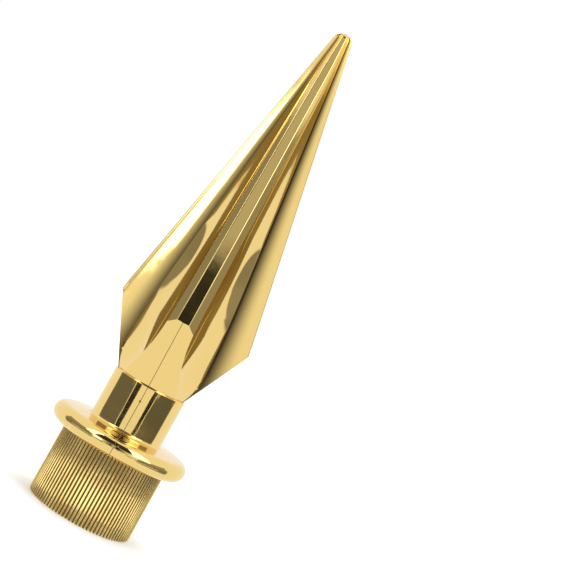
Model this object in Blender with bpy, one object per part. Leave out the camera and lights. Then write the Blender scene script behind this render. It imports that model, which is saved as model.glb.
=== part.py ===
"""Flagpole finial: a four-vaned spear head, neck, flange and ribbed sleeve, moulded as one piece.

Metres, +Z up. The origin is the middle of the sleeve's open lower end, where the finial stands.
Two wide vanes point along +Y and -Y and two thin wings along +X and -X, with a flute in each quadrant.
"""

import math

import bmesh
import bpy

# Sleeve that slips over the pole
SLEEVE_RADIUS = 0.0161
SLEEVE_LENGTH = 0.0212
SLEEVE_EDGE = 0.0004
SLEEVE_WALL = 0.0032
RIB_COUNT = 90
RIB_DEPTH = 0.0003
SOCKET_DEPTH = 0.0220

# Flange and neck
FLANGE_RADIUS = 0.0212
FLANGE_THICKNESS = 0.0057
FLANGE_RISE = 0.0006
NECK_RADIUS = 0.0112
NECK_LENGTH = 0.0154
NECK_FILLET = 0.0009

# Spear head: an inverted cone up to the shoulder, then a long blade up to the tip
HEAD_LEDGE = 0.0004
SHOULDER_RADIUS = 0.0206
SHOULDER_RISE = 0.0204
BLADE_LENGTH = 0.0941
TIP_RADIUS = 0.00245
TIP_ROUNDING = 0.0015

# Nose of a wide vane: a flat strip with a bevel on each side, given as half widths
NOSE_FLAT_AT_SHOULDER = 0.0019
NOSE_FLAT_AT_TIP = 0.00083
NOSE_AT_SHOULDER = 0.00404
NOSE_AT_TIP = 0.0018
NOSE_SHARE_OF_REACH = 0.375
FLAT_SHARE_OF_NOSE = 0.55
BEVEL_SLOPE = 0.70

# Flutes: a steep wall beside the nose that bends out to the wing, scooped deeper over the shoulder
WALL_ANGLE = math.radians(86.0)
BEND_WEIGHT = 1.4
FLUTE_DEPTH = 0.50
SCOOP_DEPTH = 0.27
SCOOP_RISE = 0.0165
SCOOP_REACH = 0.0150

# Wings: a crowned face from its root beside the flute out to a thin edge
WING_ROOT_SHARE_OF_REACH = 0.585
WING_ROOT_MOST = 0.0126
WING_ROOT_BLEND = 0.0020
WING_LEAST_WIDTH = 0.0002
WING_SLOPE = 0.19
WING_CROWN = 0.80
WING_EDGE = 0.0003
WING_EDGE_SHARE_OF_REACH = 0.12

# How finely the faceted solid follows the curves
FLUTE_FACETS = 8
WING_FACETS = 4
ROUND_FACETS = 72
RIM_FACETS = 10
FILLET_FACETS = 4
SLOPE_STATIONS = 12
BLADE_STATIONS = 15
BLADE_SPACING = 1.4
TIP_STATIONS = 4
FINE = 1e-7
EMBED = 0.0015
SHARP_ANGLE = math.radians(20.0)

# Bright gold plating
GOLD = (0.87, 0.64, 0.23, 1.0)
GOLD_ROUGHNESS = 0.08

# Heights that follow from the sizes above
FLANGE_TOP_Z = SLEEVE_LENGTH + FLANGE_THICKNESS
FOOT_Z = FLANGE_TOP_Z + NECK_LENGTH
HEAD_BASE_Z = FOOT_Z - EMBED
SHOULDER_Z = FOOT_Z + SHOULDER_RISE
TIP_Z = SHOULDER_Z + BLADE_LENGTH

FULL_TURN = 2.0 * math.pi
QUARTER_TURN = math.pi / 2.0


def remove_old_objects():
    for old in list(bpy.data.objects):
        bpy.data.objects.remove(old, do_unlink=True)


def mix(start, end, share):
    return start + (end - start) * share


def smooth_min(first, second, blend):
    """The smaller of two values, with the change from one to the other rounded over the blend."""
    overlap = max(blend - abs(first - second), 0.0) / blend
    return min(first, second) - overlap * overlap * blend / 4.0


def cone_radius(height):
    """Radius of the inverted cone that cuts the head below the shoulder; a small ledge of the neck is left."""
    return mix(NECK_RADIUS - HEAD_LEDGE, SHOULDER_RADIUS, (height - FOOT_Z) / SHOULDER_RISE)


def reach_at(height):
    """Reach of the vanes from the axis, rounded over at the tip and running straight on below the shoulder."""
    reach = mix(SHOULDER_RADIUS, TIP_RADIUS, (height - SHOULDER_Z) / BLADE_LENGTH)
    over = height - (TIP_Z - TIP_ROUNDING)
    if over > 0.0:
        reach -= TIP_ROUNDING - math.sqrt(max(TIP_ROUNDING ** 2 - over ** 2, 0.0))
    return reach


def nose_corners(height):
    """Side and front of a nose's middle, flat edge and bevel edge."""
    reach = reach_at(height)
    share = (height - SHOULDER_Z) / BLADE_LENGTH
    outer = min(mix(NOSE_AT_SHOULDER, NOSE_AT_TIP, share), NOSE_SHARE_OF_REACH * reach)
    flat = min(mix(NOSE_FLAT_AT_SHOULDER, NOSE_FLAT_AT_TIP, share), FLAT_SHARE_OF_NOSE * outer)
    return [(0.0, reach), (flat, reach), (outer, reach - (outer - flat) * BEVEL_SLOPE)]


def rim_height(corner):
    """Height at which one line of the nose meets the inverted cone."""
    low, high = FOOT_Z, SHOULDER_Z
    while high - low > FINE:
        height = (low + high) / 2.0
        if math.hypot(*nose_corners(height)[corner]) > cone_radius(height):
            low = height
        else:
            high = height
    return high


def wing_edge(height):
    """Half thickness of a wing at its edge."""
    return min(WING_EDGE, WING_EDGE_SHARE_OF_REACH * reach_at(height))


def flute_corners(height):
    """The three points that shape a flute: the nose's bevel edge, the bend and the wing's root."""
    reach, edge = reach_at(height), wing_edge(height)
    side, front = nose_corners(height)[-1]
    root = smooth_min(WING_ROOT_SHARE_OF_REACH * reach, WING_ROOT_MOST, WING_ROOT_BLEND)
    thickness = edge + WING_SLOPE * (reach - edge - root)
    if height < SHOULDER_Z:
        room = math.sqrt(cone_radius(height) ** 2 - thickness ** 2) - WING_LEAST_WIDTH
        root = smooth_min(root, room, WING_ROOT_BLEND)
    off = min(abs(height - SHOULDER_Z - SCOOP_RISE) / SCOOP_REACH, 1.0)
    depth = (FLUTE_DEPTH + SCOOP_DEPTH * (1.0 - off ** 2) ** 2) * (front - thickness)
    return ((side, front), (side + depth / math.tan(WALL_ANGLE), front - depth), (root, thickness))


def on_flute(corners, along):
    """Point at a share of the way along a flute, on the conic that its three corners shape."""
    weights = ((1.0 - along) ** 2, 2.0 * BEND_WEIGHT * along * (1.0 - along), along ** 2)
    total = sum(weights)
    return tuple(
        sum(weight * corner[axis] for weight, corner in zip(weights, corners)) / total for axis in range(2)
    )


def on_wing(height, along):
    """Point at a share of the way from a wing's root to its edge, on the crowned face."""
    root, thickness = flute_corners(height)[-1]
    edge = wing_edge(height)
    fall = mix(along, along ** 2, WING_CROWN)
    return (mix(root, reach_at(height) - edge, along), mix(thickness, edge, fall))


def cut_share(curve, height, outer, inner):
    """Share along a curve at which the inverted cone cuts it, searched from the outer end to the inner."""
    radius = cone_radius(height)
    if height >= SHOULDER_Z or math.hypot(*curve(outer)) <= radius:
        return outer
    while abs(outer - inner) > FINE:
        middle = (outer + inner) / 2.0
        if math.hypot(*curve(middle)) > radius:
            outer = middle
        else:
            inner = middle
    return inner


def side_point(height, line):
    """Side and front of a line beyond the nose: along the flute, out over the wing or the wing's middle."""
    if line <= FLUTE_FACETS:
        corners = flute_corners(height)
        first = cut_share(lambda along: on_flute(corners, along), height, 0.0, 1.0)
        return on_flute(corners, mix(first, 1.0, line / FLUTE_FACETS))
    if line <= FLUTE_FACETS + WING_FACETS:
        last = cut_share(lambda along: on_wing(height, along), height, 1.0, 0.0)
        return on_wing(height, last * (line - FLUTE_FACETS) / WING_FACETS)
    if height >= SHOULDER_Z:
        return (reach_at(height), 0.0)
    return (min(reach_at(height), cone_radius(height)), 0.0)


# Where each line of the nose meets the shoulder, its angle from the middle of the vane there, and the lines
# beyond the nose in one quadrant
RIM_HEIGHTS = [rim_height(corner) for corner in range(3)]
RIM_ANGLES = [math.atan2(*nose_corners(height)[corner]) for corner, height in enumerate(RIM_HEIGHTS)]
SIDE_LINES = FLUTE_FACETS + WING_FACETS + 1


def side_points(place):
    """Points beyond the nose, with a function that turns a line's height at the shoulder to the one wanted."""
    points = []
    for line in range(1, SIDE_LINES + 1):
        height = place(mix(RIM_HEIGHTS[-1], SHOULDER_Z, line / SIDE_LINES))
        points.append((*side_point(height, line), height))
    return points


def mirrored(quadrant):
    """Closed ring of points from one quadrant, which starts at +Y and ends at +X."""
    right = quadrant + [(x, -y, z) for x, y, z in reversed(quadrant[:-1])]
    return right + [(-x, y, z) for x, y, z in reversed(right[1:-1])]


def blade_ring(station):
    """Ring at a share of the way from the shoulder to the tip."""
    nose = []
    for corner, rim in enumerate(RIM_HEIGHTS):
        height = mix(rim, TIP_Z, station)
        nose.append((*nose_corners(height)[corner], height))
    return mirrored(nose + side_points(lambda rim: mix(rim, TIP_Z, station)))


def slope_ring(station):
    """Ring at a share of the way from inside the neck to the shoulder; the wide vane's skirt is on the cone."""
    crease_height = mix(HEAD_BASE_Z, RIM_HEIGHTS[-1], station)
    corners = flute_corners(crease_height)
    first = cut_share(lambda along: on_flute(corners, along), crease_height, 0.0, 1.0)
    crease = math.atan2(*on_flute(corners, first))
    nose = []
    for rim, rim_angle in zip(RIM_HEIGHTS, RIM_ANGLES):
        height = mix(HEAD_BASE_Z, rim, station)
        turn = crease * rim_angle / RIM_ANGLES[-1]
        radius = cone_radius(height)
        nose.append((radius * math.sin(turn), radius * math.cos(turn), height))
    return mirrored(nose + side_points(lambda rim: mix(HEAD_BASE_Z, rim, station)))


def make_object(name, bm):
    """Object in the scene from a finished bmesh, with its faces pointing out."""
    bmesh.ops.recalc_face_normals(bm, faces=bm.faces)
    mesh = bpy.data.meshes.new(name)
    bm.to_mesh(mesh)
    bm.free()
    item = bpy.data.objects.new(name, mesh)
    bpy.context.scene.collection.objects.link(item)
    return item


def loft(name, rings):
    """Closed object through rings of points, made by extruding one loop of edges from ring to ring."""
    bm = bmesh.new()
    tag = bm.verts.layers.int.new("column")
    verts = bmesh.ops.create_circle(bm, segments=len(rings[0]), radius=1.0)["verts"]
    verts.sort(key=lambda vert: math.atan2(vert.co.x, vert.co.y) % FULL_TURN)
    for column, vert in enumerate(verts):
        vert[tag] = column
        vert.co = rings[0][column]
    loop = list(bm.edges)
    bmesh.ops.contextual_create(bm, geom=loop)
    for ring in rings[1:]:
        grown = bmesh.ops.extrude_edge_only(bm, edges=loop)["geom"]
        for vert in (item for item in grown if isinstance(item, bmesh.types.BMVert)):
            vert.co = ring[vert[tag]]
        loop = [item for item in grown if isinstance(item, bmesh.types.BMEdge) and item.is_boundary]
    bmesh.ops.contextual_create(bm, geom=loop)
    return make_object(name, bm)


def make_head():
    """Spear head, from inside the neck to the tip."""
    rings = [slope_ring(step / SLOPE_STATIONS) for step in range(SLOPE_STATIONS + 1)]
    straight = 1.0 - TIP_ROUNDING / BLADE_LENGTH
    for step in range(1, BLADE_STATIONS + 1):
        rings.append(blade_ring(straight * (step / BLADE_STATIONS) ** BLADE_SPACING))
    for step in range(1, TIP_STATIONS + 1):
        rings.append(blade_ring(mix(straight, 1.0, math.sin(QUARTER_TURN * step / TIP_STATIONS))))
    return loft("finial", rings)


def arc_points(centre, radius, start, end, steps):
    """Radius and height pairs along an arc given in degrees, both ends included."""
    turns = [math.radians(mix(start, end, step / steps)) for step in range(steps + 1)]
    return [(centre[0] + radius * math.cos(turn), centre[1] + radius * math.sin(turn)) for turn in turns]


def make_stem():
    """Neck and flange, turned round the axis."""
    half = FLANGE_THICKNESS / 2.0
    rim = (FLANGE_RADIUS - half, SLEEVE_LENGTH + half)
    fillet = (NECK_RADIUS + NECK_FILLET, FLANGE_TOP_Z + FLANGE_RISE + NECK_FILLET)
    profile = [(0.0, SLEEVE_LENGTH)]
    profile += arc_points(rim, half, -90.0, 90.0, RIM_FACETS)
    profile += arc_points(fillet, NECK_FILLET, 270.0, 180.0, FILLET_FACETS)
    profile += [(NECK_RADIUS, FOOT_Z), (0.0, FOOT_Z)]
    bm = bmesh.new()
    verts = [bm.verts.new((radius, 0.0, height)) for radius, height in profile]
    edges = [bm.edges.new(pair) for pair in zip(verts, verts[1:])]
    bmesh.ops.spin(
        bm, geom=verts + edges, cent=(0.0, 0.0, 0.0), axis=(0.0, 0.0, 1.0),
        angle=FULL_TURN, steps=ROUND_FACETS, use_merge=True,
    )
    bmesh.ops.remove_doubles(bm, verts=bm.verts, dist=FINE)
    return make_object("stem", bm)


def rib_ring(height, inset):
    """Ring of crests and grooves round the sleeve, set in from its full radius."""
    points = []
    for column in range(2 * RIB_COUNT):
        radius = SLEEVE_RADIUS - inset - (RIB_DEPTH if column % 2 else 0.0)
        turn = math.pi * column / RIB_COUNT
        points.append((radius * math.sin(turn), radius * math.cos(turn), height))
    return points


def make_sleeve():
    """Ribbed sleeve, from its lower end into the flange."""
    top = SLEEVE_LENGTH + FLANGE_THICKNESS / 2.0
    return loft("sleeve", [rib_ring(0.0, SLEEVE_EDGE), rib_ring(SLEEVE_EDGE, 0.0), rib_ring(top, 0.0)])


def make_socket():
    """Cutter for the round socket that takes the end of the pole."""
    radius = SLEEVE_RADIUS - SLEEVE_WALL
    bm = bmesh.new()
    bmesh.ops.create_cone(
        bm, cap_ends=True, segments=ROUND_FACETS, radius1=radius, radius2=radius, depth=2.0 * SOCKET_DEPTH,
    )
    return make_object("socket", bm)


def combine(target, other, operation):
    modifier = target.modifiers.new(f"{operation.lower()} {other.name}", "BOOLEAN")
    modifier.operation = operation
    modifier.solver = "EXACT"
    modifier.object = other
    other.hide_render = True
    other.display_type = "WIRE"


def gold_material():
    """Bright gold plating on moulded plastic."""
    material = bpy.data.materials.new("plated gold")
    material.use_nodes = True
    shader = material.node_tree.nodes["Principled BSDF"]
    shader.inputs["Base Color"].default_value = GOLD
    shader.inputs["Metallic"].default_value = 1.0
    shader.inputs["Roughness"].default_value = GOLD_ROUGHNESS
    return material


def main():
    remove_old_objects()
    finial = make_head()
    combine(finial, make_stem(), "UNION")
    combine(finial, make_sleeve(), "UNION")
    combine(finial, make_socket(), "DIFFERENCE")
    finial.data.shade_smooth()
    finial.data.set_sharp_from_angle(angle=SHARP_ANGLE)
    finial.data.materials.append(gold_material())


main()
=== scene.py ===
"""Flagpole finial in gold-plated plastic: its fine mesh, its plating and a small product set.

Metres, +Z up. The finial stands on z = 0 with its axis on the Z axis, its wide vanes towards -Y and +Y and
its thin wings towards -X and +X.
"""

import math

import bmesh
import bpy
from bpy.props import FloatProperty, FloatVectorProperty, IntProperty, PointerProperty
from mathutils import Matrix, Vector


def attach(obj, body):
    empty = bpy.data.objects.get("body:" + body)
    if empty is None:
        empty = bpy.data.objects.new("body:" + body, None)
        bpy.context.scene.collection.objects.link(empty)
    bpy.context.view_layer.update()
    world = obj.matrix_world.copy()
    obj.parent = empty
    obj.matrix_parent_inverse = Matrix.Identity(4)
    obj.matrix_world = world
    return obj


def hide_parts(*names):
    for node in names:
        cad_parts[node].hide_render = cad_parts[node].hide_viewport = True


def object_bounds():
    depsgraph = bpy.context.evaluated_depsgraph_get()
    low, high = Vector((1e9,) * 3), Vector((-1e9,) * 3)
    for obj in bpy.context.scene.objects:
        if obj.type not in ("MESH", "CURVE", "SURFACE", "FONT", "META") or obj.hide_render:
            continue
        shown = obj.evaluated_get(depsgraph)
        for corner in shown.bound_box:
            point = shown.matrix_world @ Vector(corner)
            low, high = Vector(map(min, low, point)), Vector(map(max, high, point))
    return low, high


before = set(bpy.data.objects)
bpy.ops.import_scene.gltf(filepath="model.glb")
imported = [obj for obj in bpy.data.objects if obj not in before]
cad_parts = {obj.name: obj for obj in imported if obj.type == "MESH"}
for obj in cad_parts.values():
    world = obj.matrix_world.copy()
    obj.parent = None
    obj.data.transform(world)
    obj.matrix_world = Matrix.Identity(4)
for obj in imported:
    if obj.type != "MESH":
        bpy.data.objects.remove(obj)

bl_info = {
    "name": "Plated spear finial",
    "version": (1, 0, 0),
    "blender": (4, 5, 0),
    "location": "View3D > Sidebar > Finial",
    "description": "Models a spear finial with its gold plating and a small product set",
    "category": "Object",
}

CAD_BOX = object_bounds()
CAD_REACH = CAD_BOX[1].x
NODE = "finial"
BODY = "root"

FULL_TURN = 2.0 * math.pi
QUARTER_TURN = math.pi / 2.0

# How finely the curves are followed
FLAT_LINES = 5
BEVEL_LINES = 5
FLUTE_LINES = 30
WING_LINES = 14
EDGE_LINES = 5
SLOPE_RINGS = 44
BLADE_RINGS = 90
TIP_RINGS = 10
NECK_RINGS = 8
FILLET_STEPS = 6
BULLNOSE_STEPS = 28
RIB_COLUMNS = 8
SLEEVE_RINGS = 6
SOCKET_COLUMNS = 180
# How much closer the blade's rings lie towards the shoulder, where its form changes most
BLADE_CROWDING = 1.15
# How near a search for a height or a share comes
HEIGHT_FOUND = 1e-7
SHARE_FOUND = 1e-6
# Edges that turn more than this stay sharp
SHARP_ANGLE = math.radians(22.0)

# Pointiness at which the plating starts to look thin on an edge, and at which it is fully thin
EDGE_STARTS = 0.53
EDGE_WORN = 0.62
# Noise values between which the lacquer turns from clear to hazy
CLEAR_BELOW = 0.45
HAZY_ABOVE = 0.70
HAZE_DETAIL = 3.0
PEEL_DETAIL = 1.0
# Shares of the radius of a speck, the seam's line and the moulding mark that are fully dark
SPECK_CORE = 0.5
LINE_CORE = 0.5
MARK_CORE = 0.4
# Share of a groove's depth, next to the crests, that is left without the painted shade
GROOVE_LIP = 0.3

PAPER_ROUGHNESS = 0.9
CLIP_START = 0.01
CLIP_END = 20.0


def length(name, description, default):
    """A size in metres that the sidebar shows in the scene's unit."""
    return FloatProperty(
        name=name, description=description, default=default,
        min=0.0, precision=5, step=0.01, subtype="DISTANCE", unit="LENGTH",
    )


def number(name, description, default):
    """A plain number."""
    return FloatProperty(name=name, description=description, default=default, precision=3)


def angle(name, description, degrees):
    """An angle, given in degrees."""
    return FloatProperty(
        name=name, description=description, default=math.radians(degrees), subtype="ANGLE", unit="ROTATION",
    )


def linear_colour(code):
    """Linear colour from an sRGB hex code."""
    channels = [int(code[place:place + 2], 16) / 255.0 for place in (0, 2, 4)]
    return [value / 12.92 if value <= 0.04045 else ((value + 0.055) / 1.055) ** 2.4 for value in channels]


def colour(name, description, code):
    """A colour, given as sRGB hex."""
    return FloatVectorProperty(
        name=name, description=description, default=linear_colour(code),
        min=0.0, max=1.0, size=3, subtype="COLOR",
    )


class FinialHeadSizes(bpy.types.PropertyGroup):
    """Sizes of the spear head with its two wide vanes and two thin wings."""

    shoulder_radius: length("Shoulder radius", "Reach of a vane's nose at the shoulder", 0.0206)
    shoulder_rise: length("Shoulder rise", "Height from the neck to the shoulder", 0.0204)
    blade_length: length("Blade length", "Height from the shoulder to the tip", 0.0941)
    tip_radius: length("Tip radius", "Reach of the noses at the tip before it is rounded", 0.00245)
    tip_rounding: length("Tip rounding", "Radius of the tip's rounded end", 0.0015)
    flat_low: length("Flat at the shoulder", "Half width of a nose's flat strip at the shoulder", 0.0019)
    flat_high: length("Flat at the tip", "Half width of a nose's flat strip at the tip", 0.00083)
    nose_low: length("Nose at the shoulder", "Half width of a whole nose at the shoulder", 0.00404)
    nose_high: length("Nose at the tip", "Half width of a whole nose at the tip", 0.0018)
    nose_share: number("Nose share", "Most of the vane's reach that a nose's half width takes", 0.375)
    flat_share: number("Flat share", "Most of a nose that its flat strip takes", 0.55)
    bevel_slope: number("Bevel slope", "Fall of a bevel over its width", 0.70)
    wall_angle: angle("Wall angle", "Turn of a flute's wall beside the nose, from the vane's face", 86.0)
    bend_weight: number("Bend weight", "How tightly a flute bends from its wall to the wing", 1.4)
    flute_depth: number("Flute depth", "How far down a flute's wall its bend lies", 0.50)
    scoop_depth: number("Scoop depth", "How much deeper the bend lies at the middle of the scoop", 0.27)
    scoop_rise: length("Scoop rise", "Height of the scoop's middle over the shoulder", 0.0165)
    scoop_reach: length("Scoop reach", "Half length of the scoop", 0.0150)
    wing_share: number("Wing share", "Share of the reach at which a wing's flat starts on the blade", 0.585)
    wing_root: length("Wing root", "Most that a wing's flat starts from the axis", 0.0126)
    root_blend: length("Root blend", "Blend of the wing root's line into its lower part", 0.0020)
    wing_least: length("Least wing", "Width of the wing's flat where it runs out at the neck", 0.0002)
    wing_slope: number("Wing slope", "Fall of a wing's face over its width", 0.19)
    wing_crown: number("Wing crown", "How much of that fall comes from the face's crown", 0.80)
    wing_edge: length("Wing edge", "Half thickness of a wing at its edge", 0.0003)
    edge_share: number("Edge share", "Most of the reach that the wing's half thickness takes", 0.12)
    foot_inset: length("Foot inset", "Ledge of the neck round the head's foot", 0.0004)
    edge_round: length("Edge round", "Width taken by each side of a moulded edge's small round", 0.00012)


class FinialStemSizes(bpy.types.PropertyGroup):
    """Sizes of the neck, the flange and the moulding seam."""

    neck_radius: length("Neck radius", "Radius of the plain neck", 0.0112)
    neck_length: length("Neck length", "Height of the neck over the flange", 0.0154)
    neck_fillet: length("Neck fillet", "Radius of the fillet from the neck to the flange", 0.0009)
    neck_round: length("Neck round", "Rounding of the neck's upper edge round the head's foot", 0.0003)
    flange_radius: length("Flange radius", "Radius of the flange", CAD_REACH)
    flange_thickness: length("Flange thickness", "Thickness of the flange's bullnose rim", 0.0057)
    flange_rise: length("Flange rise", "How far the flange's top rises towards the neck", 0.0006)
    seam_width: length("Seam width", "Half width of the moulding seam", 0.00010)
    seam_height: length("Seam height", "How proud the moulding seam stands", 0.00003)


class FinialSleeveSizes(bpy.types.PropertyGroup):
    """Sizes of the ribbed sleeve and its socket."""

    radius: length("Sleeve radius", "Radius over the ribs", 0.0161)
    length: length("Sleeve length", "Height of the ribbed sleeve", 0.0212)
    end_round: length("End round", "Rounding of the ribs at the lower end", 0.0004)
    wall: length("Wall", "Thickness of the sleeve's wall", 0.0032)
    mouth_round: length("Mouth round", "Chamfer at the mouth of the socket", 0.0003)
    socket_depth: length("Socket depth", "Depth of the socket for the pole", 0.0220)
    rib_depth: length("Rib depth", "Depth of the grooves between the ribs", 0.0003)
    rib_count: IntProperty(name="Ribs", description="Number of ribs round the sleeve", default=90, min=8)


class FinialPlating(bpy.types.PropertyGroup):
    """Colours and finish of the plating."""

    gold: colour("Gold", "Colour of the lacquered plating", "F0D184")
    thin_gold: colour("Thin gold", "Colour where the plating has thinned on the edges", "FAE3A6")
    seam_brown: colour("Seam brown", "Colour of the dull line along the moulding seam", "7A5C2A")
    dust_grey: colour("Dust grey", "Colour of the specks caught in the lacquer", "8C7A4C")
    # This brown is painted shade, which darkens the groove bottoms and the inside of the socket
    groove_shade_brown: colour("Groove shade brown", "Colour of thin plating in the grooves and the socket", "6E5226")
    roughness: number("Roughness", "Roughness of the plating where it is clean", 0.055)
    haze: number("Haze", "Roughness that the haziest patches add", 0.05)
    dull_roughness: number("Dull roughness", "Roughness that the seam, specks and grooves add", 0.30)
    wear: number("Wear", "How much of the edges' colour is thin gold", 0.55)
    haze_size: length("Haze size", "Width of a hazy patch", 0.009)
    peel_size: length("Orange peel", "Width of one ripple of the orange peel", 0.0026)
    peel_depth: length("Peel depth", "Depth of the orange peel's ripples", 0.0000045)
    speck_spacing: length("Speck spacing", "Width of the cells that may hold a speck", 0.0021)
    speck_radius: length("Speck radius", "Radius of a speck", 0.00011)
    speck_share: number("Speck share", "Share of the cells that hold a speck", 0.22)
    seam_line: length("Seam line", "Half width of the dull line along the seam", 0.00011)
    mark_height: length("Mark height", "Height of the moulding mark on the front of the neck", 0.0376)
    mark_radius: length("Mark radius", "Radius of the moulding mark", 0.00042)


class FinialStage(bpy.types.PropertyGroup):
    """Floor, light and camera of the product set."""

    floor_colour: colour("Floor", "Colour of the pale floor", "FAFAFA")
    floor_reach: length("Floor reach", "Half width of the floor", 3.0)
    light_strength: number("Overhead light", "Strength of the soft light from above", 1.6)
    light_spread: angle("Light spread", "Angle that the soft light from above fills", 60.0)
    camera_distance: length("Camera distance", "Distance of the camera from the finial's axis", 0.359)
    camera_height: length("Camera height", "Height of the camera over the floor", 0.0728)


def mix(start, end, share):
    return start + (end - start) * share


def smooth_max(first, second, blend):
    overlap = max(blend - abs(first - second), 0.0) / blend
    return max(first, second) + overlap * overlap * blend / 4.0


def smooth_min(first, second, blend):
    return -smooth_max(-first, -second, blend)


def foot_height(stem, sleeve):
    """Height at which the head stands on the neck."""
    return sleeve.length + stem.flange_thickness + stem.neck_length


def softened(before, corner, after):
    """Middle point of the small round that stands for a sharp corner."""
    return tuple((a + 2.0 * b + c) / 4.0 for a, b, c in zip(before, corner, after))


class HeadForm:
    """Cross-sections of the spear head, worked out from its sizes.

    A quadrant lies between the middle of a wide vane, at the front or back, and the middle of a thin wing.
    Its points are given as side and front: how far they lie from the axis towards the wing and towards the
    wide vane. A line runs the length of the head and says how far along the half nose it lies: a share of
    the flat, a share of the bevel and a fixed distance.
    """

    def __init__(self, head, stem, foot_z):
        self.head = head
        self.foot_z = foot_z
        self.foot_radius = stem.neck_radius - head.foot_inset
        self.shoulder_z = foot_z + head.shoulder_rise
        self.tip_z = self.shoulder_z + head.blade_length
        self.top_share = 1.0 - head.tip_rounding / head.blade_length
        small = head.edge_round
        lines = [(0.0, 0.0, 0.0), (0.0, 0.0, stem.seam_width)]
        lines += [(step / (FLAT_LINES + 1), 0.0, 0.0) for step in range(1, FLAT_LINES + 1)]
        self.flat_edge = len(lines) + 1
        lines += [(1.0, 0.0, -small), (1.0, 0.0, 0.0), (1.0, 0.0, small)]
        lines += [(1.0, step / (BEVEL_LINES + 1), 0.0) for step in range(1, BEVEL_LINES + 1)]
        lines += [(1.0, 1.0, -small), (1.0, 1.0, 0.0)]
        self.lines = lines
        self.rim_heights = [self.rim_height(line) for line in lines]
        self.rim_angles = [
            math.atan2(*self.nose_point(height, line)) for height, line in zip(self.rim_heights, lines)
        ]
        self.rest = FLUTE_LINES + WING_LINES + EDGE_LINES
        self.columns_per_quadrant = len(lines) + self.rest

    def cone_radius(self, height):
        """Radius of the inverted cone under the shoulder."""
        share = (height - self.foot_z) / self.head.shoulder_rise
        return mix(self.foot_radius, self.head.shoulder_radius, share)

    def blade_radius(self, height):
        """Reach of the vanes above the shoulder, rounded over at the tip."""
        head = self.head
        share = (height - self.shoulder_z) / head.blade_length
        over = height - (self.tip_z - head.tip_rounding)
        radius = mix(head.shoulder_radius, head.tip_radius, share)
        if over > 0.0:
            radius -= head.tip_rounding - math.sqrt(max(head.tip_rounding ** 2 - over ** 2, 0.0))
        return radius

    def nose_point(self, height, line):
        """Side and front of one line of the half nose."""
        head = self.head
        radius = self.blade_radius(height)
        share = (height - self.shoulder_z) / head.blade_length
        outer = min(mix(head.nose_low, head.nose_high, share), head.nose_share * radius)
        flat = min(mix(head.flat_low, head.flat_high, share), head.flat_share * outer)
        bevel = outer - flat
        stretch = math.hypot(1.0, head.bevel_slope)
        along = line[0] * flat + line[1] * bevel * stretch + line[2]
        if along <= flat:
            return (along, radius)
        over = (along - flat) / stretch
        return (flat + over, radius - over * head.bevel_slope)

    def rim_height(self, line):
        """Height at which one line of the nose meets the inverted cone."""
        low, high = self.foot_z, self.shoulder_z
        while high - low > HEIGHT_FOUND:
            height = (low + high) / 2.0
            if math.hypot(*self.nose_point(height, line)) > self.cone_radius(height):
                low = height
            else:
                high = height
        return high

    def flute(self, height):
        """The points that shape a flute at a height: the nose's edge, the bend and the wing's root."""
        head = self.head
        start = self.nose_point(height, self.lines[-1])
        reach = self.blade_radius(height)
        edge = min(head.wing_edge, head.edge_share * reach)
        root = smooth_min(head.wing_share * reach, head.wing_root, head.root_blend)
        thickness = edge + head.wing_slope * (reach - edge - root)
        if height < self.shoulder_z:
            room = math.sqrt(self.cone_radius(height) ** 2 - thickness ** 2) - head.wing_least
            root = smooth_min(root, room, head.root_blend)
        off = min(abs(height - self.shoulder_z - head.scoop_rise) / head.scoop_reach, 1.0)
        depth = (head.flute_depth + head.scoop_depth * (1.0 - off * off) ** 2) * (start[1] - thickness)
        bend = (start[0] + depth / math.tan(head.wall_angle), start[1] - depth)
        return (start, bend, (root, thickness))

    def on_flute(self, flute, along):
        """Side and front of a point along a flute, which bends as a conic does."""
        shares = ((1.0 - along) ** 2, 2.0 * self.head.bend_weight * along * (1.0 - along), along ** 2)
        total = sum(shares)
        return tuple(
            sum(share * point[axis] for share, point in zip(shares, flute)) / total for axis in range(2)
        )

    def on_wing(self, flute, height, along):
        """Side and front of a point of the wing's crowned face."""
        root, thickness = flute[2]
        reach = self.blade_radius(height)
        edge = min(self.head.wing_edge, self.head.edge_share * reach)
        gone = mix(along, along ** 2, self.head.wing_crown)
        return (mix(root, reach - edge, along), mix(thickness, edge, gone))

    def cut(self, curve, height, outer, inner):
        """Share along a curve at which it passes the inverted cone, from outside it to inside."""
        radius = self.cone_radius(height)
        if height >= self.shoulder_z or math.hypot(*curve(outer)) <= radius:
            return outer
        while abs(outer - inner) > SHARE_FOUND:
            middle = (outer + inner) / 2.0
            if math.hypot(*curve(middle)) > radius:
                outer = middle
            else:
                inner = middle
        return inner

    def side_point(self, height, column):
        """Side and front of a column beyond the nose: in the flute, on the wing or round its edge."""
        flute = self.flute(height)
        if column < FLUTE_LINES:
            first = self.cut(lambda along: self.on_flute(flute, along), height, 0.0, 1.0)
            pull = self.head.bend_weight * math.dist(flute[0], flute[1])
            first += self.head.edge_round / (2.0 * pull)
            return self.on_flute(flute, mix(first, 1.0, column / (FLUTE_LINES - 1)))
        last = self.cut(lambda along: self.on_wing(flute, height, along), height, 1.0, 0.0)
        if column < FLUTE_LINES + WING_LINES:
            return self.on_wing(flute, height, last * (column + 1 - FLUTE_LINES) / WING_LINES)
        turn = QUARTER_TURN * (column + 1 - FLUTE_LINES - WING_LINES) / EDGE_LINES
        side, front = self.on_wing(flute, height, last)
        if last < 1.0:
            radius = self.cone_radius(height)
            angle = math.atan2(front, side) * math.cos(turn)
            return (radius * math.cos(angle), radius * math.sin(angle))
        point = (side + front * math.sin(turn), front * math.cos(turn))
        if height >= self.shoulder_z:
            return point
        scale = min(1.0, self.cone_radius(height) / math.hypot(*point))
        return (point[0] * scale, point[1] * scale)

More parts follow.
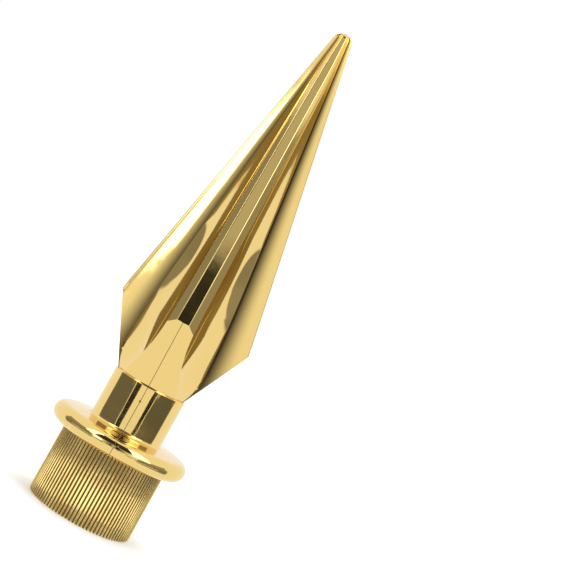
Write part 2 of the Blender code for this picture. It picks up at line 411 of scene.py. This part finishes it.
    def skirt_crease(self, height):
        """Angle from the middle of a wide vane to the crease where its skirt meets the flute."""
        flute = self.flute(height)
        first = self.cut(lambda along: self.on_flute(flute, along), height, 0.0, 1.0)
        return math.atan2(*self.on_flute(flute, first))

    def quadrant(self, nose, station_height):
        """All columns of a quadrant, with the two moulded edges of the nose softened."""
        points = list(nose)
        for column in range(self.rest):
            rim = mix(self.rim_heights[-1], self.shoulder_z, (column + 1) / self.rest)
            height = station_height(rim)
            points.append((*self.side_point(height, column), height))
        for at in (self.flat_edge, len(nose) - 1):
            points[at] = softened(*(points[at - 1:at + 2]))
        return points

    def blade_quadrant(self, station):
        """Columns of a quadrant at a share of the way from the shoulder to the tip."""
        nose = []
        for line, rim in zip(self.lines, self.rim_heights):
            height = mix(rim, self.tip_z, station)
            nose.append((*self.nose_point(height, line), height))
        return self.quadrant(nose, lambda rim: mix(rim, self.tip_z, station))

    def slope_quadrant(self, station):
        """Columns of a quadrant at a share of the way from the neck to the shoulder."""
        nose = []
        crease = self.skirt_crease(mix(self.foot_z, self.rim_heights[-1], station))
        for rim, rim_angle in zip(self.rim_heights, self.rim_angles):
            height = mix(self.foot_z, rim, station)
            angle = crease * rim_angle / self.rim_angles[-1]
            radius = self.cone_radius(height)
            nose.append((radius * math.sin(angle), radius * math.cos(angle), height))
        return self.quadrant(nose, lambda rim: mix(self.foot_z, rim, station))

    def ring(self, quadrant):
        """All columns round the head, from the columns of one quadrant and its mirror images."""
        right = [(side, front, height) for side, front, height in quadrant]
        right += [(x, -y, height) for x, y, height in reversed(right[:-1])]
        left = [(-x, y, height) for x, y, height in reversed(right[1:-1])]
        return right + left


def with_seam(points, stem):
    """The same ring with the moulding seam raised down the middle of the front and the back."""
    raised = list(points)
    for middle in (0, len(points) // 2):
        x, y, height = points[middle]
        scale = 1.0 + stem.seam_height / math.hypot(x, y)
        raised[middle] = (x * scale, y * scale, height)
    return raised


def round_ring(radius, height, turns):
    return [(radius * math.sin(turn), radius * math.cos(turn), height) for turn in turns]


def arc(centre, radius, start, end, steps):
    """Radius and height pairs along an arc given in degrees, both ends included."""
    turns = [math.radians(mix(start, end, step / steps)) for step in range(steps + 1)]
    return [(centre[0] + radius * math.cos(turn), centre[1] + radius * math.sin(turn)) for turn in turns]


def start_ring(bm, points):
    """A loop of edges through the points, with each vertex tagged by its column."""
    tag = bm.verts.layers.int.get("column") or bm.verts.layers.int.new("column")
    made = bmesh.ops.create_circle(bm, segments=len(points), radius=1.0)["verts"]
    made.sort(key=lambda vert: math.atan2(vert.co.x, vert.co.y) % FULL_TURN)
    for column, vert in enumerate(made):
        vert[tag] = column
        vert.co = points[column]
    inside = set(made)
    return [edge for edge in bm.edges if edge.verts[0] in inside and edge.verts[1] in inside]


def grow(bm, loop, points):
    """Extrudes a loop of edges to a new ring of points and returns the new loop."""
    tag = bm.verts.layers.int["column"]
    grown = bmesh.ops.extrude_edge_only(bm, edges=loop)["geom"]
    fresh = {item for item in grown if isinstance(item, bmesh.types.BMVert)}
    for vert in fresh:
        vert.co = points[vert[tag]]
    return [
        item for item in grown
        if isinstance(item, bmesh.types.BMEdge) and item.verts[0] in fresh and item.verts[1] in fresh
    ]


def fill_flat_ring(bm, outer, inner):
    """Faces between two loops at one height, where a bridge could twist for want of a direction."""
    bmesh.ops.triangle_fill(bm, use_beauty=True, edges=outer + inner, normal=(0.0, 0.0, -1.0))


def head_rings(form, stem):
    """Rings of the spear head from the neck to the tip."""
    small = form.head.edge_round
    low = small / form.head.shoulder_rise
    high = small / form.head.blade_length
    slope = [
        form.ring(form.slope_quadrant(mix(0.0, 1.0 - low, step / SLOPE_RINGS)))
        for step in range(SLOPE_RINGS + 1)
    ]
    rim = form.ring(form.slope_quadrant(1.0))
    above = form.ring(form.blade_quadrant(high))
    rim = [softened(*three) for three in zip(slope[-1], rim, above)]
    blade = []
    for step in range(1, BLADE_RINGS + 1):
        share = (step / BLADE_RINGS) ** BLADE_CROWDING
        blade.append(form.ring(form.blade_quadrant(mix(high, form.top_share, share))))
    for step in range(1, TIP_RINGS + 1):
        lift = math.sin(QUARTER_TURN * step / TIP_RINGS)
        blade.append(form.ring(form.blade_quadrant(mix(form.top_share, 1.0, lift))))
    return [with_seam(ring, stem) for ring in slope] + [rim, above] + blade


def stem_rings(form, stem, sleeve):
    """Rings of the flange and the neck, from the flange's underside up to the head."""
    half = stem.flange_thickness / 2.0
    top = sleeve.length + stem.flange_thickness
    rim = (stem.flange_radius - half, sleeve.length + half)
    fillet = (stem.neck_radius + stem.neck_fillet, top + stem.flange_rise + stem.neck_fillet)
    profile = arc(rim, half, -90.0, 90.0, BULLNOSE_STEPS)
    profile += arc(fillet, stem.neck_fillet, 270.0, 180.0, FILLET_STEPS)
    low = profile[-1][1]
    high = form.foot_z - stem.neck_round
    profile += [(stem.neck_radius, mix(low, high, step / NECK_RINGS)) for step in range(1, NECK_RINGS)]
    profile += arc((stem.neck_radius - stem.neck_round, high), stem.neck_round, 0.0, 90.0, FILLET_STEPS)

    foot = form.ring(form.slope_quadrant(0.0))
    columns = len(foot)
    foot_turns = [math.atan2(x, y) % FULL_TURN for x, y, _ in foot]
    even_turns = [FULL_TURN * column / columns for column in range(columns)]
    rings = []
    for radius, height in profile:
        share = min(max((height - low) / (high - low), 0.0), 1.0)
        turns = [mix(even, old, share) for even, old in zip(even_turns, foot_turns)]
        seam = stem.seam_width / radius
        for middle in (0, columns // 2):
            turns[middle + 1] = turns[middle] + seam
            turns[middle - 1] = (turns[middle] - seam) % FULL_TURN
        rings.append(with_seam(round_ring(radius, height, turns), stem))
    rings[0] = round_ring(profile[0][0], profile[0][1], even_turns)
    return rings


def rib_ring(sleeve, height, inset):
    """Ring round the ribs: rounded crests with a narrow groove between them."""
    points = []
    columns = sleeve.rib_count * RIB_COLUMNS
    for column in range(columns):
        from_crest = abs(2.0 * (column % RIB_COLUMNS) / RIB_COLUMNS - 1.0)
        fall = sleeve.rib_depth * (1.0 - math.cos(math.pi * from_crest)) / 2.0
        radius = sleeve.radius - inset - fall
        turn = FULL_TURN * column / columns
        points.append((radius * math.sin(turn), radius * math.cos(turn), height))
    return points


def build_sleeve(bm, sleeve):
    """Ribbed sleeve from the flange's underside down, with its socket. Returns its upper loop."""
    loop = start_ring(bm, rib_ring(sleeve, sleeve.length, 0.0))
    upper = loop
    for step in range(1, SLEEVE_RINGS + 1):
        height = mix(sleeve.length, sleeve.end_round, step / SLEEVE_RINGS)
        loop = grow(bm, loop, rib_ring(sleeve, height, 0.0))
    for step in range(1, FILLET_STEPS + 1):
        turn = QUARTER_TURN * step / FILLET_STEPS
        height = sleeve.end_round * (1.0 - math.sin(turn))
        loop = grow(bm, loop, rib_ring(sleeve, height, sleeve.end_round * (1.0 - math.cos(turn))))
    turns = [FULL_TURN * column / SOCKET_COLUMNS for column in range(SOCKET_COLUMNS)]
    bore = sleeve.radius - sleeve.wall
    mouth = start_ring(bm, round_ring(bore + sleeve.mouth_round, 0.0, turns))
    fill_flat_ring(bm, loop, mouth)
    inner = grow(bm, mouth, round_ring(bore, sleeve.mouth_round, turns))
    inner = grow(bm, inner, round_ring(bore, sleeve.socket_depth, turns))
    bmesh.ops.contextual_create(bm, geom=inner)
    return upper


def build_moulding(settings):
    """Closed mesh of the whole finial."""
    head, stem, sleeve = settings.head, settings.stem, settings.sleeve
    form = HeadForm(head, stem, foot_height(stem, sleeve))
    bm = bmesh.new()
    ribs = build_sleeve(bm, sleeve)
    rings = stem_rings(form, stem, sleeve) + head_rings(form, stem)
    under = loop = start_ring(bm, rings[0])
    for ring in rings[1:]:
        loop = grow(bm, loop, ring)
    bmesh.ops.contextual_create(bm, geom=loop)
    fill_flat_ring(bm, under, ribs)
    bmesh.ops.recalc_face_normals(bm, faces=bm.faces)
    # The fine rings at the tip can mislead the recalculation, so the volume says which side is out
    if bm.calc_volume(signed=True) < 0.0:
        bmesh.ops.reverse_faces(bm, faces=bm.faces)
    mesh = bpy.data.meshes.new("finial_plated")
    bm.to_mesh(mesh)
    bm.free()
    mesh.shade_smooth()
    mesh.set_sharp_from_angle(angle=SHARP_ANGLE)
    return mesh


def add_node(tree, kind, settings=None, inputs=None):
    """Adds a node, sets its settings and fills or links its inputs."""
    node = tree.nodes.new(kind)
    for name, value in (settings or {}).items():
        setattr(node, name, value)
    for name, value in (inputs or {}).items():
        if isinstance(value, bpy.types.NodeSocket):
            tree.links.new(value, node.inputs[name])
        else:
            node.inputs[name].default_value = value
    return node


def plating_material(settings):
    """Vacuum-plated gold ABS.

    The moulded plastic under the thin metal gives a mirror with faint orange peel, so that the edges of
    reflections waver. The lacquer over it has hazy patches and a few specks, the plating is paler where it
    has thinned on the edges, painted shade darkens the grooves and the socket to brown, and a dull line
    follows the seam of the mould.
    """
    plating, stem, sleeve = settings.plating, settings.stem, settings.sleeve
    material = bpy.data.materials.new("vacuum_plated_gold_abs")
    material.use_nodes = True
    tree = material.node_tree
    tree.nodes.clear()
    place = add_node(tree, "ShaderNodeTexCoord").outputs["Object"]
    axes = add_node(tree, "ShaderNodeSeparateXYZ", inputs={0: place}).outputs

    # Specks are far finer than the picture shows, so they are drawn about three times too large
    cells = add_node(tree, "ShaderNodeTexVoronoi", {"feature": "F1"}, {
        "Vector": place, "Scale": 1.0 / plating.speck_spacing,
    })
    near = plating.speck_radius / plating.speck_spacing
    dot = add_node(tree, "ShaderNodeMapRange", {"interpolation_type": "SMOOTHSTEP"}, {
        "Value": cells.outputs["Distance"],
        "From Min": SPECK_CORE * near, "From Max": near, "To Min": 1.0, "To Max": 0.0,
    })
    draw = add_node(tree, "ShaderNodeSeparateColor", inputs={0: cells.outputs["Color"]})
    kept = add_node(tree, "ShaderNodeMath", {"operation": "LESS_THAN"}, {
        0: draw.outputs[0], 1: plating.speck_share,
    })
    specks = add_node(tree, "ShaderNodeMath", {"operation": "MULTIPLY"}, {
        0: dot.outputs[0], 1: kept.outputs[0],
    })

    # The seam's dull line runs from the flange's underside to the shoulder, in front and behind. The real
    # one is as thin as a hair, and this is as wide as it needs to show
    shoulder_z = foot_height(stem, sleeve) + settings.head.shoulder_rise
    middle = (sleeve.length + shoulder_z) / 2.0
    across = add_node(tree, "ShaderNodeMath", {"operation": "ABSOLUTE"}, {0: axes["X"]})
    line = add_node(tree, "ShaderNodeMapRange", inputs={
        "Value": across.outputs[0],
        "From Min": LINE_CORE * plating.seam_line, "From Max": plating.seam_line,
        "To Min": 1.0, "To Max": 0.0,
    })
    span = add_node(tree, "ShaderNodeMath", {"operation": "COMPARE"}, {
        0: axes["Z"], 1: middle, 2: middle - sleeve.length,
    })
    seam = add_node(tree, "ShaderNodeMath", {"operation": "MULTIPLY"}, {
        0: line.outputs[0], 1: span.outputs[0],
    })

    # A small moulding mark on the front of the neck
    away = add_node(tree, "ShaderNodeVectorMath", {"operation": "DISTANCE"}, {
        0: place, 1: (0.0, -stem.neck_radius, plating.mark_height),
    })
    mark = add_node(tree, "ShaderNodeMapRange", {"interpolation_type": "SMOOTHSTEP"}, {
        "Value": away.outputs["Value"],
        "From Min": MARK_CORE * plating.mark_radius, "From Max": plating.mark_radius,
        "To Min": 1.0, "To Max": 0.0,
    })
    seam = add_node(tree, "ShaderNodeMath", {"operation": "MAXIMUM"}, {
        0: seam.outputs[0], 1: mark.outputs[0],
    })

    # Painted shade: the bottom of the sleeve's grooves and the inside of the socket are coloured darker
    # brown, as shade would fall there, and are also made duller
    outwards = add_node(tree, "ShaderNodeVectorMath", {"operation": "MULTIPLY"}, {
        0: place, 1: (1.0, 1.0, 0.0),
    })
    radius = add_node(tree, "ShaderNodeVectorMath", {"operation": "LENGTH"}, {0: outwards.outputs[0]})
    deep = add_node(tree, "ShaderNodeMapRange", {"interpolation_type": "SMOOTHSTEP"}, {
        "Value": radius.outputs["Value"],
        "From Min": sleeve.radius - sleeve.rib_depth,
        "From Max": sleeve.radius - GROOVE_LIP * sleeve.rib_depth,
        "To Min": 1.0, "To Max": 0.0,
    })
    low = add_node(tree, "ShaderNodeMath", {"operation": "LESS_THAN"}, {
        0: axes["Z"], 1: sleeve.socket_depth,
    })
    grooves = add_node(tree, "ShaderNodeMath", {"operation": "MULTIPLY"}, {
        0: deep.outputs[0], 1: low.outputs[0],
    })

    point = add_node(tree, "ShaderNodeNewGeometry")
    edges = add_node(tree, "ShaderNodeMapRange", {"interpolation_type": "SMOOTHSTEP"}, {
        "Value": point.outputs["Pointiness"],
        "From Min": EDGE_STARTS, "From Max": EDGE_WORN, "To Max": plating.wear,
    })
    # Each layer is mixed over the last; sockets 6 and 7 are the two colours of a mix
    tint = (*plating.gold, 1.0)
    for mask, layer in (
        (edges, plating.thin_gold), (specks, plating.dust_grey),
        # The last layer is painted shade, a darker brown in the groove bottoms and inside the socket
        (seam, plating.seam_brown), (grooves, plating.groove_shade_brown),
    ):
        tint = add_node(tree, "ShaderNodeMix", {"data_type": "RGBA"}, {
            0: mask.outputs[0], 6: tint, 7: (*layer, 1.0),
        }).outputs[2]

    clouds = add_node(tree, "ShaderNodeTexNoise", inputs={
        "Vector": place, "Scale": 1.0 / plating.haze_size, "Detail": HAZE_DETAIL,
    })
    haze = add_node(tree, "ShaderNodeMapRange", {"interpolation_type": "SMOOTHSTEP"}, {
        "Value": clouds.outputs[0], "From Min": CLEAR_BELOW, "From Max": HAZY_ABOVE,
        "To Min": plating.roughness, "To Max": plating.roughness + plating.haze,
    })
    dull = seam
    for mask in (specks, grooves):
        dull = add_node(tree, "ShaderNodeMath", {"operation": "MAXIMUM"}, {
            0: dull.outputs[0], 1: mask.outputs[0],
        })
    roughness = add_node(tree, "ShaderNodeMath", {"operation": "MULTIPLY_ADD"}, {
        0: dull.outputs[0], 1: plating.dull_roughness, 2: haze.outputs[0],
    })

    ripples = add_node(tree, "ShaderNodeTexNoise", inputs={
        "Vector": place, "Scale": 1.0 / plating.peel_size, "Detail": PEEL_DETAIL,
    })
    peel = add_node(tree, "ShaderNodeBump", inputs={
        "Height": ripples.outputs[0], "Distance": plating.peel_depth, "Strength": 1.0,
    })
    shader = add_node(tree, "ShaderNodeBsdfPrincipled", inputs={
        "Base Color": tint,
        "Metallic": 1.0,
        "Roughness": roughness.outputs[0],
        "Normal": peel.outputs["Normal"],
    })
    add_node(tree, "ShaderNodeOutputMaterial", inputs={"Surface": shader.outputs["BSDF"]})
    return material


class FINIAL_OT_moulding(bpy.types.Operator):
    """Model the finial as one plated moulding"""

    bl_idname = "finial.moulding"
    bl_label = "Plated moulding"
    bl_options = {"REGISTER", "UNDO"}

    def execute(self, context):
        settings = context.scene.finial
        piece = bpy.data.objects.new("finial_plated", build_moulding(settings))
        context.scene.collection.objects.link(piece)
        piece.data.materials.append(plating_material(settings))
        weights = piece.modifiers.new("even normals", "WEIGHTED_NORMAL")
        weights.keep_sharp = True
        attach(piece, BODY)
        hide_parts(NODE)
        return {"FINISHED"}


# Zones of the surroundings that the mirror finish shows: azimuth from the camera's side towards +X, then
# elevation, each as the middle, the half width and the softness in degrees, and the brightness there. A
# later zone covers an earlier one
ZONES = [
    ("left side", -70, 28, 4, -5.5, 15, 2, 0.27),
    ("right side", 70, 28, 4, -5.5, 15, 2, 0.28),
    ("left side above", -71, 24, 4, 16, 7, 2, 0.30),
    ("right side above", 71, 24, 4, 16, 7, 2, 0.33),
    ("above the camera", -3, 34, 4, 45, 19, 5, 0.04),
    ("over the camera", 0, 3, 4, 33, 8, 3, 0.55),
    ("left high softbox", -47, 6, 4, 42, 18, 8, 3.0),
    ("right high softbox", 48, 14, 5, 42, 18, 8, 3.0),
    ("camera", 0, 3, 29, 9, 11, 2, 0.04),
    ("left softbox", -30, 6, 3, 10, 4, 1.0, 4.5),
    ("camera black", 0, 6, 3, 11, 12, 1, 0.03),
    ("left low side", -68, 31, 1, -6, 2, 0.5, 0.16),
    ("right low side", 66, 31, 1, -6, 2, 0.5, 0.13),
    ("left dark line", -27, 7, 1, -6, 2, 0.5, 0.03),
    ("right dark line", 27, 5, 1, -6, 2, 0.5, 0.03),
    ("over the sleeve's band", 0, 80, 4, -9.0, 0.7, 0.4, 0.30),
    ("sleeve's band", 0, 80, 4, -10.6, 0.7, 0.4, 1.90),
    ("under the sleeve's band", 0, 80, 4, -12.7, 1.0, 0.5, 0.25),
]


def smooth_zone(tree, value, middle, half, soft):
    """1 within half of the middle, falling smoothly to 0 over soft outside it; all in radians."""
    offset = add_node(tree, "ShaderNodeMath", {"operation": "SUBTRACT"}, {0: value, 1: middle})
    away = add_node(tree, "ShaderNodeMath", {"operation": "ABSOLUTE"}, {0: offset.outputs[0]})
    fade = add_node(tree, "ShaderNodeMapRange", {"interpolation_type": "SMOOTHSTEP"}, {
        "Value": away.outputs[0], "From Min": half, "From Max": half + soft, "To Min": 1.0, "To Max": 0.0,
    })
    return fade.outputs["Result"]


def build_world(scene):
    """White surroundings with the zones in them. What the camera sees past the finial stays plain white."""
    world = bpy.data.worlds.new("soft studio")
    scene.world = world
    world.use_nodes = True
    tree = world.node_tree
    tree.nodes.clear()
    place = add_node(tree, "ShaderNodeTexCoord")
    parts = add_node(tree, "ShaderNodeSeparateXYZ", inputs={0: place.outputs["Generated"]})
    front = add_node(tree, "ShaderNodeMath", {"operation": "MULTIPLY"}, {0: parts.outputs["Y"], 1: -1.0})
    azimuth = add_node(tree, "ShaderNodeMath", {"operation": "ARCTAN2"}, {
        0: parts.outputs["X"], 1: front.outputs[0],
    }).outputs[0]
    elevation = add_node(tree, "ShaderNodeMath", {"operation": "ARCSINE"}, {
        0: parts.outputs["Z"],
    }).outputs[0]
    level = 1.0
    for _, turn, turn_half, turn_soft, rise, rise_half, rise_soft, value in ZONES:
        turn_part = smooth_zone(tree, azimuth, *map(math.radians, (turn, turn_half, turn_soft)))
        rise_part = smooth_zone(tree, elevation, *map(math.radians, (rise, rise_half, rise_soft)))
        both = add_node(tree, "ShaderNodeMath", {"operation": "MULTIPLY"}, {0: turn_part, 1: rise_part})
        level = add_node(tree, "ShaderNodeMix", {"data_type": "FLOAT"}, {
            "Factor": both.outputs[0], "A": level, "B": value,
        }).outputs["Result"]
    seen = add_node(tree, "ShaderNodeLightPath").outputs["Is Camera Ray"]
    plain = add_node(tree, "ShaderNodeMix", {"data_type": "FLOAT"}, {"Factor": seen, "A": level, "B": 1.0})
    light = add_node(tree, "ShaderNodeBackground", inputs={
        "Color": plain.outputs["Result"], "Strength": 1.0,
    })
    add_node(tree, "ShaderNodeOutputWorld", inputs={"Surface": light.outputs[0]})


# Where the photograph places the finial: the pixel of the axis at the camera's height, and the axis's lean
PICTURE_SIDE = 576.0
AXIS_PIXEL = (202.9, 291.3)
LEAN = math.radians(29.2)
CAMERA_TURN = math.radians(1.5)
PIXEL_SIZE = 0.0002865
SENSOR = 36.0


def build_camera(scene, stage):
    """Camera turned, leaned and shifted so that it shows the finial as the photograph does."""
    camera = bpy.data.objects.new("camera", bpy.data.cameras.new("camera"))
    scene.collection.objects.link(camera)
    scene.camera = camera
    back = (math.sin(CAMERA_TURN), -math.cos(CAMERA_TURN), 0.0)
    side = (math.cos(CAMERA_TURN), math.sin(CAMERA_TURN), 0.0)
    cosine, sine = math.cos(LEAN), math.sin(LEAN)
    right = [cosine * side[axis] + (sine if axis == 2 else 0.0) for axis in range(3)]
    up = [-sine * side[axis] + (cosine if axis == 2 else 0.0) for axis in range(3)]
    rows = [
        [right[axis], up[axis], back[axis], back[axis] * stage.camera_distance] for axis in range(3)
    ]
    rows[2][3] = stage.camera_height
    rows.append([0.0, 0.0, 0.0, 1.0])
    camera.matrix_world = Matrix(rows)
    lens = camera.data
    lens.sensor_width = SENSOR
    lens.lens = SENSOR * stage.camera_distance / (PICTURE_SIDE * PIXEL_SIZE)
    lens.shift_x = 0.5 - AXIS_PIXEL[0] / PICTURE_SIDE
    lens.shift_y = AXIS_PIXEL[1] / PICTURE_SIDE - 0.5
    lens.clip_start = CLIP_START
    lens.clip_end = CLIP_END


def build_floor(scene, stage):
    """Sheet of matt white paper under the finial; the mirror finish doesn't show it."""
    bm = bmesh.new()
    bmesh.ops.create_grid(bm, x_segments=1, y_segments=1, size=stage.floor_reach)
    mesh = bpy.data.meshes.new("floor")
    bm.to_mesh(mesh)
    bm.free()
    floor = bpy.data.objects.new("floor", mesh)
    scene.collection.objects.link(floor)
    floor.visible_glossy = False
    material = bpy.data.materials.new("matt_white_paper")
    material.use_nodes = True
    shader = material.node_tree.nodes["Principled BSDF"]
    shader.inputs["Base Color"].default_value = (*stage.floor_colour, 1.0)
    shader.inputs["Roughness"].default_value = PAPER_ROUGHNESS
    mesh.materials.append(material)
    return floor


def build_overhead_light(scene, stage):
    """Wide soft light from above that turns the paper white; the mirror finish doesn't show it."""
    light = bpy.data.lights.new("overhead light", "SUN")
    light.energy = stage.light_strength
    light.angle = stage.light_spread
    item = bpy.data.objects.new("overhead light", light)
    scene.collection.objects.link(item)
    item.visible_glossy = False


class FINIAL_OT_stage(bpy.types.Operator):
    """Make the pale floor, the soft light and the camera"""

    bl_idname = "finial.stage"
    bl_label = "Product set"
    bl_options = {"REGISTER", "UNDO"}

    def execute(self, context):
        scene = context.scene
        stage = scene.finial.stage
        build_world(scene)
        build_camera(scene, stage)
        build_floor(scene, stage)
        build_overhead_light(scene, stage)
        scene.view_settings.view_transform = "Standard"
        return {"FINISHED"}


class FinialSettings(bpy.types.PropertyGroup):
    """Everything that a user would change."""

    head: PointerProperty(type=FinialHeadSizes)
    stem: PointerProperty(type=FinialStemSizes)
    sleeve: PointerProperty(type=FinialSleeveSizes)
    plating: PointerProperty(type=FinialPlating)
    stage: PointerProperty(type=FinialStage)


class FINIAL_PT_panel(bpy.types.Panel):
    """Lists the operators in the order in which they run"""

    bl_label = "Plated spear finial"
    bl_idname = "FINIAL_PT_panel"
    bl_space_type = "VIEW_3D"
    bl_region_type = "UI"
    bl_category = "Finial"

    def draw(self, context):
        for operator in OPERATORS:
            self.layout.operator(operator.bl_idname)


OPERATORS = (FINIAL_OT_moulding, FINIAL_OT_stage)
CLASSES = (
    FinialHeadSizes, FinialStemSizes, FinialSleeveSizes, FinialPlating, FinialStage, FinialSettings,
    *OPERATORS, FINIAL_PT_panel,
)


def register():
    for item in CLASSES:
        bpy.utils.register_class(item)
    bpy.types.Scene.finial = PointerProperty(type=FinialSettings)


def unregister():
    del bpy.types.Scene.finial
    for item in reversed(CLASSES):
        bpy.utils.unregister_class(item)


def main():
    register()
    bpy.ops.finial.moulding()
    bpy.ops.finial.stage()


if __name__ == "__main__":
    main()
